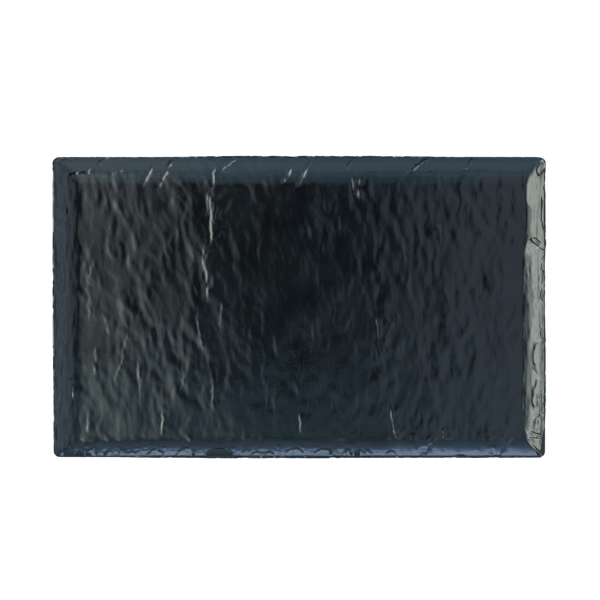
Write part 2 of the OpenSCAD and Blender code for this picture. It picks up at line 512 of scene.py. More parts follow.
# How far the outline wanders inwards along each side. Below 0, the edge is whole and has few bites.
OUTLINE: dict[Side, Route] = {
    Side.LEFT: (
        (-150, 1), (-85, 0.9), (-72, 0.4), (-59, 0.5), (-35, 0), (20, 0), (55, -0.7), (95, -1.3),
        (135, -1.3), (150, -0.3),
    ),
    Side.RIGHT: (
        (-150, 1.2), (-125, 1.1), (-100, 0), (-72, 0.3), (-34, 0.3), (-10, 1.2), (4, 1.2), (17, 0.8),
        (30, 0.9), (43, 1.2), (55, 1.1), (68, 0.1), (81, -0.3), (94, 0.4), (120, 0.6), (133, 1.2),
        (148, 0.5),
    ),
    Side.NEAR: (
        (-250, 1.2), (-196, 1.2), (-179, 0.8), (-150, 0.4), (-110, 0.4), (-90, -0.1), (-59, -0.6),
        (-24, 0.2), (43, -0.3), (62, 0.4), (215, 0.5), (250, 0.8),
    ),
    Side.FAR: (
        (-250, 1.1), (-196, 1.2), (-140, 1.2), (-93, 0.3), (-60, 0), (95, 0), (130, 0.5), (163, 1.1),
        (250, 1.2),
    ),
}


@dataclass
class SlateRelief:
    """The stone's surface: ripples, swells, clefts and chips. Sizes are in millimetres."""

    dish: Dish
    clefts: tuple[Cleft, ...]
    chips: tuple[Chip, ...]
    rows: tuple[ChipRow, ...]
    seed: int = 7
    shell_gap: float = 0.1
    most_raised: float = 0.9
    # The grain's lean and its ripples
    lean: float = math.tan(math.radians(21))
    lean_shares: Route = ((-240, 0.5), (-160, 0.95), (-100, 1), (0, 0.55), (240, 0.12))
    lean_even: float = 0.75
    lean_bend: float = 24
    lean_length: float = 60
    octaves: tuple[tuple[float, Sheet], ...] = (
        (1, Sheet(0.40, 15, 27, 4.5)), (0.75, Sheet(0.35, 7.5, 15, 7.5)),
        (1.2, Sheet(0.25, 4, 9, 10.5)), (0.4, Sheet(0.11, 2.3, 5, 13.5)),
    )
    steepen: float = 0.3
    waver: tuple[Sheet, ...] = (
        Sheet(4.6, 24, 27, 1.5), Sheet(1.4, 8, 10, 2.5), Sheet(0.7, 3.5, 3.5, 3.5),
    )
    patch: Sheet = Sheet(0.8, 27, 36, 24.5)
    patch_level: float = 0.9
    patch_range: Point = (0.4, 1.3)
    swell: Sheet = Sheet(0.30, 34, 52, 20.5)
    strength: Route = (
        (-245, 0.7), (-228, 1), (-110, 1), (-85, 0.7), (20, 0.66), (70, 0.9), (130, 0.9),
        (232, 0.8), (242, 0.6),
    )
    far_left_extra: float = 0.25
    far_left_x: Point = (-80, -110)
    far_left_y: Point = (-20, 40)
    cove_calm: float = 0.35
    calm_climb: Point = (0, 0.45)
    # How unevenly clefts and chips run
    ragged: tuple[Sheet, Sheet] = (Sheet(0.9, 5, 5, 60.5), Sheet(0.9, 5, 5, 63.5))
    uneven: Sheet = Sheet(1, 5, 5, 66.5)
    uneven_level: float = 0.8
    uneven_range: Point = (0.1, 1.05)
    # The outline
    bite: float = 1.1
    bite_sheets: tuple[Sheet, ...] = (Sheet(1, 9, 9, 30.5), Sheet(0.8, 3, 3, 33.5))
    bite_gap: float = 0.12
    bite_reach: float = 2.6
    drawn_reach: float = 8
    most_drawn: float = 1.35
    # The feet of the coves, and the right end
    sway_sheets: tuple[Sheet, ...] = (Sheet(1.3, 21, 21, 40.5), Sheet(0.6, 7, 9, 43.5))
    right_sway: float = 0.35
    right_foot: Route = (
        (-162, -8), (-150, -7.5), (-140, -6), (-134, -2), (-126, 0), (50, 0), (66, -3.5),
        (75, -6.6), (85, -6.2), (105, -7.2), (116, -4.2), (134, -3.6), (150, -4), (162, -4),
    )
    right_straight: Route = ((52, 0), (68, 0.95), (112, 0.95), (140, 0.6), (155, 0.3))
    fill_x: Point = (244, 257)
    fill_mitre: Point = (-2, 2)
    corner_fill: Route = ((-165, 5), (-146, 5), (-138, 3.6), (-130, 1.2), (-122, 0))
    # The worn and splintered rim
    wear_depth: float = 1.25
    wear_even: float = 0.2
    wear_left: float = 1.4
    wear_far: float = 1.8
    wear_reach: float = 1.6
    wear_sheets: tuple[Sheet, ...] = (Sheet(3, 6, 6, 70.5), Sheet(2.1, 2.6, 2.6, 73.5))
    splinter_sheets: tuple[Sheet, ...] = (Sheet(0.34, 6, 3, 80.5), Sheet(0.16, 2.8, 1.8, 83.5))
    splinter_y: Point = (-146, -151)
    splinters: Route = ((-262, 0.9), (-235, 1), (-160, 1), (-140, 0.7), (60, 0.7), (95, 0.2), (262, 0.12))
    sag_line: float = -142
    sagging: Route = (
        (-262, 0.13), (-195, 0.09), (-175, 0.05), (-140, 0.065), (-110, 0.075), (-80, 0.11), (-48, 0.045),
        (-15, 0.04), (22, 0.06), (65, 0.08), (105, 0.02), (262, 0.01),
    )
    streak_sheets: tuple[Sheet, ...] = (Sheet(0.34, 2.6, 16, 90.5), Sheet(0.10, 1.4, 5, 93.5))
    left_streaks: float = 1.8
    streak_x: Point = (240, 248)

    def __post_init__(self) -> None:
        """Adds the rows of chips to those listed one by one."""
        chance = random.Random(self.seed)
        self.chips += tuple(chip for row in self.rows for chip in row.scatter(self.dish, chance))

    def edge(self, x: Array, y: Array) -> tuple[Array, ...]:
        """Finds the outline beside each point.

        Args:
            x, y: Coordinates of each point.

        Returns:
            The x and the y of the way out, the distance to the outline, the x and the y of the outline's
            nearest point, and how far the outline wanders inwards there.
        """
        out_x, out_y, inset = self.dish.outward(x * MM, y * MM)
        inset = inset / MM
        edge_x, edge_y = x + out_x * inset, y + out_y * inset
        inwards = {side: profile(OUTLINE[side], edge_y if side.value.out[0] else edge_x) for side in Side}
        ends = np.where(edge_x > 0.0, inwards[Side.RIGHT], inwards[Side.LEFT])
        sides = np.where(edge_y > 0.0, inwards[Side.FAR], inwards[Side.NEAR])
        return out_x, out_y, inset, edge_x, edge_y, out_x ** 2 * ends + out_y ** 2 * sides

    def bitten(self, x: Array, y: Array) -> tuple[Array, Array]:
        """Draws the plan's edge in where the outline wanders and where small bites are missing from the rim.

        Args:
            x, y: Coordinates of each point, in metres.

        Returns:
            The moved x and y, in metres.
        """
        out_x, out_y, inset, edge_x, edge_y, drawn = self.edge(x / MM, y / MM)
        bites = self.bite * (heaped(self.bite_sheets, edge_x, edge_y) - self.bite_gap).clip(0.0, 1.0)
        bites *= 1.0 - np.abs(drawn) / self.most_drawn
        pull = bites * (1.0 - inset / self.bite_reach).clip(0.0)
        pull += drawn.clip(0.0) * (1.0 - inset / self.drawn_reach).clip(0.0)
        return x - out_x * pull * MM, y - out_y * pull * MM

    def leaned(self, x: Array, y: Array) -> Array:
        """How far the grain leans across at each point: most left of the middle and at the far side."""
        bent = self.lean_even * y + self.lean_bend * np.log(np.cosh(y / self.lean_length))
        return self.lean * profile(self.lean_shares, x) * bent

    def ripples(self, x: Array, y: Array) -> Array:
        """Ripples along the grain, steeper on their left, in layers that lean differently and cross.

        Args:
            x, y: Coordinates of each point.

        Returns:
            The height of the ripples at each point.
        """
        lean, waver = self.leaned(x, y), heaped(self.waver, x, y)
        total = np.zeros(len(x))
        for crossing, sheet in self.octaves:
            across = x + crossing * lean + waver
            wave = stone_noise(across / sheet.across, y / sheet.along, sheet.layer)
            total += sheet.at(across + self.steepen * sheet.across * wave, y)
        return total * (self.patch_level + self.patch.at(x, y)).clip(*self.patch_range)

    def sway(self, x: Array, y: Array) -> tuple[Array, Array]:
        """How far the foot of the cove strays inwards.

        Args:
            x, y: Coordinates of each point.

        Returns:
            The distance at each point, in metres, for the coves of the ends and for those of the sides.
        """
        stray = heaped(self.sway_sheets, x, y)
        ends = np.where(x > 0.0, self.right_sway * stray + profile(self.right_foot, y), stray)
        return ends * MM, stray * MM

    def filled(self, x: Array, y: Array) -> Array:
        """Height by which the lower end of the right cove is filled up to a wider lip at each point."""
        beside = smooth_step(*self.fill_mitre, x + y + (self.dish.half_y - self.dish.half_x) / MM)
        return beside * profile(self.corner_fill, y) * smooth_step(*self.fill_x, x)

    def wear(self, x: Array, y: Array) -> Array:
        """How the rim's outermost edge is worn away, differently from side to side.

        Args:
            x, y: Coordinates of each point.

        Returns:
            The depth of the wear at each point.
        """
        out_x, out_y, inset, edge_x, edge_y, drawn = self.edge(x, y)
        left, right, near, far = out_x < -0.5, out_x > 0.5, out_y < -0.5, out_y > 0.5
        rounded = np.where(right | near, 0.0, self.wear_even)
        reach = np.where(left, self.wear_left, np.where(far, self.wear_far, self.wear_reach))
        power = np.where(far | left, 1.0, 2.0)
        worn = (heaped(self.wear_sheets, edge_x, edge_y) + rounded).clip(0.0, 1.0)
        return self.wear_depth * worn * (1.0 - (inset - drawn.clip(0.0)) / reach).clip(0.0, 1.0) ** power

    def splintered(self, x: Array, y: Array) -> Array:
        """Fine breakage and sag of the near side's rim at each point, worst at its left end."""
        rough = heaped(self.splinter_sheets, x, y) * smooth_step(*self.splinter_y, y)
        return rough * profile(self.splinters, x) - (self.sag_line - y).clip(0.0) * profile(self.sagging, x)

    def streaks(self, x: Array, y: Array) -> Array:
        """Fine ridges along both ends of the rim at each point."""
        fine = heaped(self.streak_sheets, x, y) * np.where(x < 0.0, self.left_streaks, 1.0)
        return fine * smooth_step(*self.streak_x, np.abs(x))

    def surface(self, x: Array, y: Array) -> Array:
        """Height of the stone's surface.

        Args:
            x, y: Coordinates of each point, in metres.

        Returns:
            The height of each point, in metres, never so low that the shell would show.
        """
        lowest = self.dish.shell(x, y) + self.shell_gap * MM
        calm = 1.0 - self.cove_calm * smooth_step(*self.calm_climb, self.dish.climb(x, y)[0])
        plan, x, y = (x, y), x / MM, y / MM
        straightened = profile(self.right_straight, y) * (x > 0.0)
        dish = self.dish.inner(*plan, self.sway(x, y), straightened) + self.filled(x, y) * MM
        far_left = smooth_step(*self.far_left_y, y) * smooth_step(*self.far_left_x, x)
        strength = profile(self.strength, x) * (1.0 + self.far_left_extra * far_left)
        total = (self.ripples(x, y) * strength + self.swell.at(x, y)) * calm
        total += self.splintered(x, y) + self.streaks(x, y) - self.wear(x, y)
        uneven = (self.uneven_level + self.uneven.at(x, y)).clip(*self.uneven_range)
        ragged = tuple(place + sheet.at(x, y) for place, sheet in zip((x, y), self.ragged))
        for cleft in self.clefts:
            total += uneven * cleft.relief(*ragged)
        total -= np.max([chip.scoop(*ragged) for chip in self.chips], axis=0)
        return np.clip(dish + total.clip(max=self.most_raised) * MM, lowest, self.dish.top_z)


def add_object(name: str, data: bpy.types.ID) -> bpy.types.Object:
    """Adds an object with this mesh, lamp or camera to the scene."""
    bpy.context.scene.collection.objects.link(made := bpy.data.objects.new(name, data))
    return made


def finished_mesh(bm: bmesh.types.BMesh, name: str) -> bpy.types.Mesh:
    """Turns a bmesh into a mesh.

    Args:
        bm: The bmesh, which is freed.
        name: The mesh's name.

    Returns:
        The mesh.
    """
    mesh = bpy.data.meshes.new(name)
    bm.to_mesh(mesh)
    bm.free()
    return mesh


@dataclass
class SlateFace:
    """The slate-look face: a thin leaf over the dish that wraps down over the rim's outer edge."""

    dish: Dish
    relief: SlateRelief
    edge_band: float = 11.0 * MM
    edge_cells: int = 20
    cove_cells: int = 13
    floor_cell_x: float = 1.75 * MM
    floor_cell_y: float = 2.9 * MM
    strata: int = 3
    strata_wave: float = 5.0 * MM
    strata_layers: Point = (50.5, 2.0)
    bite: float = 0.7 * MM
    deepest_bite: float = 1.42 * MM
    cove_rings: int = 3
    hidden_cell: float = 3.0 * MM
    foot_reach: float = 2.4 * MM
    foot_cell: float = 0.5 * MM
    cleft_reach: float = 2.4 * MM
    cleft_cell: float = 0.9 * MM
    slack: float = 0.1 * MM
    merge: float = 0.01 * MM
    crease: float = math.radians(48.0)
    name: str = "slate_face_relief"

    def build(self) -> bpy.types.Object:
        """Models the face as one closed mesh.

        Returns:
            The face's object, which rides on the body and stands for the plain solid.
        """
        bm = bmesh.new()
        self.lay_grid(bm)
        self.carve(bm)
        self.wrap_rim(bm)
        bmesh.ops.remove_doubles(bm, verts=bm.verts, dist=self.merge)
        bmesh.ops.dissolve_degenerate(bm, edges=bm.edges, dist=self.merge)
        bmesh.ops.recalc_face_normals(bm, faces=bm.faces)
        mesh = finished_mesh(bm, self.name)
        mesh.shade_smooth()
        mesh.set_sharp_from_angle(angle=self.crease)
        piece = add_object(self.name, mesh)
        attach(piece, BODY)
        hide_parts("slate_face")
        return piece

    def dress(self, piece: bpy.types.Object, glaze: "MouldedFinish") -> None:
        """Gives the face its glaze."""
        piece.data.materials.append(glaze.material())

    def lay_grid(self, bm: bmesh.types.BMesh) -> None:
        """Lays a flat grid over the plan, finer over the rim and beside clefts than over the floor.

        Args:
            bm: The empty mesh that takes the grid.
        """
        floor_x, floor_y = self.dish.half_x - self.dish.rim, self.dish.half_y - self.dish.rim
        cells_x, cells_y = round(2 * floor_x / self.floor_cell_x), round(2 * floor_y / self.floor_cell_y)
        both_rims = 2 * (self.edge_cells + self.cove_cells)
        bmesh.ops.create_grid(bm, x_segments=cells_x + both_rims, y_segments=cells_y + both_rims, size=1.0)
        x, y = self.plan(bm)
        x, y = self.grade(x, self.dish.half_x, cells_x), self.grade(y, self.dish.half_y, cells_y)
        for vert, px, py in zip(bm.verts, x, y):
            vert.co = (px, py, 0.0)
        feet = (self.across_feet, self.across_feet)
        for pick in (*feet, self.along_ends, self.along_edges, self.along_clefts):
            self.halve(bm, pick)

    def grade(self, share: Array, half: float, floor_cells: int) -> Array:
        """Spreads evenly spaced lines so that the rim's edge, its cove and the floor take their own numbers.

        Args:
            share: Place of each line, from -1 to 1.
            half: Half the plan's size in this direction.
            floor_cells: Number of cells across the floor.

        Returns:
            The place of each line, in metres.
        """
        cells = np.cumsum((0.0, floor_cells / 2, self.cove_cells, self.edge_cells))
        places = (0.0, half - self.dish.rim, half - self.edge_band, half)
        return np.sign(share) * np.interp(np.abs(share), cells / cells[-1], places)

    @staticmethod
    def halve(bm: bmesh.types.BMesh, pick: Callable[[Array, Array], Array]) -> None:
        """Cuts some of the grid's edges in two.

        Args:
            bm: The flat grid.
            pick: Tells from the middles and the spans of all edges which ones to cut.
        """
        edges = list(bm.edges)
        ends = np.array([[vert.co[:2] for vert in edge.verts] for edge in edges])
        chosen = pick(ends.mean(axis=1), np.abs(ends[:, 1] - ends[:, 0]))
        bmesh.ops.subdivide_edges(bm, edges=[edge for edge, hit in zip(edges, chosen) if hit], cuts=1,
                                  use_grid_fill=True)

    def across_feet(self, middle: Array, span: Array) -> Array:
        """Picks edges that cross the foot of a cove that leaves the floor at an angle.

        Args:
            middle: Middle of each edge.
            span: Size of each edge along x and along y.

        Returns:
            Whether each edge is picked.
        """
        near = np.zeros(len(middle), bool)
        for side in (Side.RIGHT, Side.NEAR):
            axis = 0 if side.value.out[0] else 1
            foot = self.dish.half(side) - side.value.lip - self.dish.run(side)
            gap = middle[:, axis] * side.value.out[axis] - foot
            near |= (np.abs(gap) < self.foot_reach) & (span[:, axis] > self.foot_cell)
        return near

    def along_ends(self, middle: Array, span: Array) -> Array:
        """Picks edges that run along the right end of the platter, over the whole rim."""
        past_x, past_y = middle[:, 0] - self.dish.half_x, np.abs(middle[:, 1]) - self.dish.half_y
        return (past_x + self.dish.rim > -self.slack) & (span[:, 0] < self.slack) & (past_y < -self.dish.rim)

    def along_edges(self, middle: Array, span: Array) -> Array:
        """Picks edges that run along any side of the platter, over the rim's outer band.

        Args:
            middle: Middle of each edge.
            span: Size of each edge along x and along y.

        Returns:
            Whether each edge is picked.
        """
        dish, band = self.dish, self.edge_band + self.slack
        x, y = np.abs(middle).T
        ends = (x > dish.half_x - band) & (span[:, 0] < self.slack) & (y < dish.half_y - dish.rim)
        sides = (y > dish.half_y - band) & (span[:, 1] < self.slack) & (x < dish.half_x - dish.rim)
        return ends | sides

    def along_clefts(self, middle: Array, span: Array) -> Array:
        """Picks edges near a cleft that are longer than the cleft is wide."""
        gaps = [np.abs(cleft.locate(*(middle / MM).T)[0]) for cleft in self.relief.clefts]
        return (np.min(gaps, axis=0) < self.cleft_reach / MM) & (span.max(axis=1) > self.cleft_cell)

    @staticmethod
    def plan(bm: bmesh.types.BMesh) -> tuple[Array, Array]:
        """The x and the y of every vertex."""
        flat = np.array([vert.co[:2] for vert in bm.verts])
        return flat[:, 0], flat[:, 1]

    def carve(self, bm: bmesh.types.BMesh) -> None:
        """Raises the grid to the dish's surface and carves the stone into it.

        Args:
            bm: The flat grid.
        """
        x, y = self.relief.bitten(*self.dish.round_corners(*self.plan(bm)))
        z = self.relief.surface(x, y)
        for vert, *place in zip(bm.verts, x, y, z):
            vert.co = place

    def wrap_rim(self, bm: bmesh.types.BMesh) -> None:
        """Draws the rim's outer edge down to the shell, in uneven layers, and closes the face underneath.

        Args:
            bm: The carved grid.
        """
        edges = [edge for edge in bm.edges if edge.is_boundary]
        first, step = self.strata_layers
        for layer in range(self.strata, 0, -1):
            edges, verts = self.extrude(bm, edges)
            x, y = np.array([vert.co[:2] for vert in verts]).T
            foot = self.dish.outer(x, y)
            out_x, out_y, inset = self.dish.outward(x, y)
            ragged = stone_noise(x / self.strata_wave, y / self.strata_wave, first + step * layer)
            back = np.minimum(self.bite * ragged, self.deepest_bite - inset).clip(0.0)
            for vert, bottom, dx, dy in zip(verts, foot, out_x * back, out_y * back):
                vert.co.x -= dx
                vert.co.y -= dy
                vert.co.z += (bottom - vert.co.z) / layer
        for ring, (inset, height) in enumerate(self.under_rings()):
            edges, verts = self.extrude(bm, edges)
            x, y = self.dish.half_x - inset, self.dish.half_y - inset
            for vert in verts:
                vert.co = (min(max(vert.co.x, -x), x), min(max(vert.co.y, -y), y), height)
            if ring == 0:
                bmesh.ops.remove_doubles(bm, verts=verts, dist=self.hidden_cell)
                edges = [edge for edge in bm.edges if edge.is_boundary]
        bmesh.ops.contextual_create(bm, geom=edges)

    @staticmethod
    def extrude(bm: bmesh.types.BMesh, edges: list) -> tuple[list, list]:
        """Extrudes a loop of edges in place.

        Args:
            bm: The mesh.
            edges: The loop's edges.

        Returns:
            The new loop's edges and its vertices.
        """
        made = bmesh.ops.extrude_edge_only(bm, edges=edges)["geom"]
        verts = [item for item in made if isinstance(item, bmesh.types.BMVert)]
        fresh = [item for item in made if isinstance(item, bmesh.types.BMEdge) and item.is_boundary]
        return fresh, verts

    def under_rings(self) -> Iterator[tuple[float, float]]:
        """Places the rings of the hidden underside, which lies on the shell.

        Yields:
            The inset and the height of each ring, from the rim inwards.
        """
        dish = self.dish
        yield dish.face, float(dish.outer(np.float64(dish.half_x - dish.face), np.float64(0.0)))
        yield dish.face, dish.top_z - dish.face
        radius = dish.wall_radius + dish.face
        centre = dish.floor_z + dish.wall_radius
        steepest = math.acos((centre - dish.top_z + dish.face) / radius)
        for ring in range(self.cove_rings, -1, -1):
            angle = steepest * ring / self.cove_rings
            yield dish.rim - radius * math.sin(angle), centre - radius * math.cos(angle)


class Nodes:
    """A short way to add nodes to a shader tree and to link them."""

    def __init__(self, tree: bpy.types.NodeTree) -> None:
        """Keeps the tree that the nodes go into."""
        self.tree = tree

    def add(self, kind: str, inputs: dict | None = None, **settings: object) -> bpy.types.Node:
        """Adds a node.

        Args:
            kind: The node's type, without the word ShaderNode.
            inputs: Value, or output socket, for each input by name or number.
            settings: The node's own properties.

        Returns:
            The new node.
        """
        node = self.tree.nodes.new("ShaderNode" + kind)
        for key, value in settings.items():
            setattr(node, key, value)
        for key, value in (inputs or {}).items():
            if isinstance(value, bpy.types.NodeSocket):
                self.tree.links.new(value, node.inputs[key])
            else:
                node.inputs[key].default_value = value
        return node


def fresh_material(name: str) -> tuple[bpy.types.Material, Nodes]:
    """A material with an empty node tree.

    Args:
        name: The material's name.

    Returns:
        The material, and a helper for its nodes.
    """
    material = bpy.data.materials.new(name)
    material.use_nodes = True
    material.node_tree.nodes.clear()
    return material, Nodes(material.node_tree)


def grain_group() -> bpy.types.NodeTree:
    """The moulded grain that every finish shares, built once.

    Returns:
        A node group that turns object coordinates into a bump height and a slow patch mask.
    """
    made = bpy.data.node_groups.get("moulded_grain")
    if made:
        return made
    group = bpy.data.node_groups.new("moulded_grain", "ShaderNodeTree")
    for name, kind in (("Vector", "Vector"), ("Grain Scale", "Float"), ("Patch Scale", "Float")):
        group.interface.new_socket(name, in_out="INPUT", socket_type="NodeSocket" + kind)
    nodes = Nodes(group)
    entry = group.nodes.new("NodeGroupInput")
    leave = group.nodes.new("NodeGroupOutput")
    for name, scale, detail in (("Height", "Grain Scale", 4.0), ("Patch", "Patch Scale", 3.0)):
        group.interface.new_socket(name, in_out="OUTPUT", socket_type="NodeSocketFloat")
        texture = nodes.add("TexNoise", {
            "Vector": entry.outputs["Vector"], "Scale": entry.outputs[scale], "Detail": detail,
        })
        group.links.new(texture.outputs["Fac"], leave.inputs[name])
    return group


@dataclass(frozen=True)
class MouldedFinish:
    """A moulded finish: two close colours and its gloss vary in slow patches, and a fine grain is in its
    bump.
    """

    name: str
    deep: Colour
    pale: Colour
    gloss: Point
    ior: float
    grain_scale: float
    patch_scale: float
    grain_height: float
    stretch: Colour = (1.0, 1.0, 1.0)
    lean: float = 0.0
    colour_spread: Point = (0.35, 0.65)
    gloss_spread: Point = (0.3, 0.7)

    def material(self) -> bpy.types.Material:
        """Builds the finish from shader nodes.

        Returns:
            The material.
        """
        material, nodes = fresh_material(self.name)
        where = nodes.add("TexCoord").outputs["Object"]
        turned = {"Vector": where, "Rotation": (0.0, 0.0, self.lean), "Scale": self.stretch}
        drawn = nodes.add("Mapping", turned, vector_type="TEXTURE")
        grain = nodes.add("Group", node_tree=grain_group())
        nodes.tree.links.new(drawn.outputs["Vector"], grain.inputs["Vector"])
        grain.inputs["Grain Scale"].default_value = self.grain_scale
        grain.inputs["Patch Scale"].default_value = self.patch_scale
        patch = grain.outputs["Patch"]
        low, high = self.colour_spread
        spread = nodes.add("MapRange", {"Value": patch, "From Min": low, "From Max": high})
        colour = nodes.add("Mix", {0: spread.outputs["Result"]}, data_type="RGBA")
        colour.inputs[6].default_value = (*self.deep, 1.0)
        colour.inputs[7].default_value = (*self.pale, 1.0)
        low, high = self.gloss_spread
        gloss = nodes.add("MapRange", {"Value": patch, "From Min": low, "From Max": high})
        gloss.inputs["To Min"].default_value, gloss.inputs["To Max"].default_value = self.gloss
        bump = nodes.add("Bump", {"Height": grain.outputs["Height"], "Distance": self.grain_height})
        surface = nodes.add("BsdfPrincipled", {
            "Base Color": colour.outputs[2],
            "Roughness": gloss.outputs["Result"],
            "IOR": self.ior,
            "Normal": bump.outputs["Normal"],
        })
        nodes.add("OutputMaterial", {"Surface": surface.outputs["BSDF"]})
        return material


SLATE_GLAZE = MouldedFinish(
    name="slate_glaze",
    deep=(0.0012, 0.0017, 0.0024),
    pale=(0.0022, 0.0028, 0.0036),
    gloss=(0.13, 0.19),
    ior=1.65,
    grain_scale=450.0,
    patch_scale=26.0,
    grain_height=0.095 * MM,
    stretch=(1.0, 1.15, 1.0),
    lean=math.radians(12.0),
)
SHELL_MELAMINE = MouldedFinish(
    name="shell_melamine",
    deep=(0.0075, 0.0085, 0.0095),
    pale=(0.0105, 0.0115, 0.0125),
    gloss=(0.34, 0.46),
    ior=1.65,
    grain_scale=900.0,
    patch_scale=30.0,
    grain_height=0.03 * MM,
)
FOOT_SILICONE = MouldedFinish(
    name="foot_silicone",
    deep=(0.022, 0.023, 0.025),
    pale=(0.034, 0.035, 0.037),
    gloss=(0.58, 0.72),
    ior=1.42,
    grain_scale=1600.0,
    patch_scale=180.0,
    grain_height=0.04 * MM,
)
ADHESIVE_FILM = MouldedFinish(
    name="adhesive_film",
    deep=(0.62, 0.62, 0.58),
    pale=(0.74, 0.74, 0.70),
    gloss=(0.40, 0.55),
    ior=1.47,
    grain_scale=1200.0,
    patch_scale=150.0,
    grain_height=0.02 * MM,
)


@dataclass
class FramePieces:
    """Pieces that keep the frame's own shape and only take a finish."""

    nodes: tuple[str, ...]
    finish: MouldedFinish

    def dress(self) -> None:
        """Replaces the plain material of every piece by the finish."""
        material = self.finish.material()
        for name in self.nodes:
            mesh = frame["nodes"][name].data
            mesh.materials.clear()
            mesh.materials.append(material)
            LOG.info("%s finished in %s", name, self.finish.name)


def hang_lamp(name: str, size: Point, radiance: Colour, place: Vector, back: Vector) -> None:
    """Adds an area lamp of a given radiance.

    Args:
        name: The lamp's name.
        size: Its width and height, in metres.
        radiance: What each point of it sends out, by channel.
        place: Where it hangs.
        back: The direction that its back faces. A lamp whose back faces straight up isn't turned.
    """
    strongest = max(radiance)
    lamp = bpy.data.lights.new(name, "AREA")
    lamp.shape = "RECTANGLE"
    lamp.size, lamp.size_y = size
    lamp.color = tuple(channel / strongest for channel in radiance)
    lamp.energy = strongest * math.pi * size[0] * size[1]
    light = add_object(name, lamp)
    light.location = place
    if abs(back.z) < 1.0 - MM:
        light.rotation_euler = back.to_track_quat("Z", "Y").to_euler()


@dataclass(frozen=True)
class Softbox:
    """A soft lamp that faces the platter, placed by its angles round it and from straight up, in degrees."""

    name: str
    azimuth: float
    zenith: float
    span: Point
    radiance: Colour
    distance: float = 2.2

    def build(self) -> None:
        """Adds the lamp to the scene."""
        size = tuple(2.0 * self.distance * math.tan(math.radians(angle) / 2) for angle in self.span)
        a, z = math.radians(self.azimuth), math.radians(self.zenith)
        towards = Vector((math.sin(z) * math.cos(a), math.sin(z) * math.sin(a), math.cos(z)))
        hang_lamp(self.name, size, self.radiance, towards * self.distance, towards)


@dataclass(frozen=True)
class CeilingPanel:
    """A flat soft panel overhead, bounded by angles from straight up along x and along y, in degrees."""

    name: str
    x_range: Point
    y_range: Point
    radiance: Colour
    height: float = 2.4

    def build(self) -> None:
        """Adds the panel to the scene as a lamp that faces down."""
        (x0, x1), (y0, y1) = (
            tuple(self.height * math.tan(math.radians(edge)) for edge in pair)
            for pair in (self.x_range, self.y_range)
        )
        hang_lamp(self.name, (x1 - x0, y1 - y0), self.radiance,
                  Vector(((x0 + x1) / 2, (y0 + y1) / 2, self.height)), Vector((0.0, 0.0, 1.0)))


STRIP_REACH: Point = (-36.0, 36.0)


def bank(name: str, azimuth: float, width: float, *rows: tuple[float, float, Colour]) -> list[Softbox]:
    """Softboxes of one width above each other, each placed by its zenith, height and radiance."""
    return [Softbox(f"{name}_{row}", azimuth, zenith, (width, height), radiance)
            for row, (zenith, height, radiance) in enumerate(rows, 1)]


def strips(name: str, edges: tuple[float, ...], *radiances: Colour) -> list[CeilingPanel]:
    """Ceiling panels side by side, from the middle outwards, between the given edges along x."""
    return [CeilingPanel(f"{name}_{strip}", (min(pair), max(pair)), STRIP_REACH, radiance)
            for strip, (pair, radiance) in enumerate(zip(zip(edges, edges[1:]), radiances), 1)]


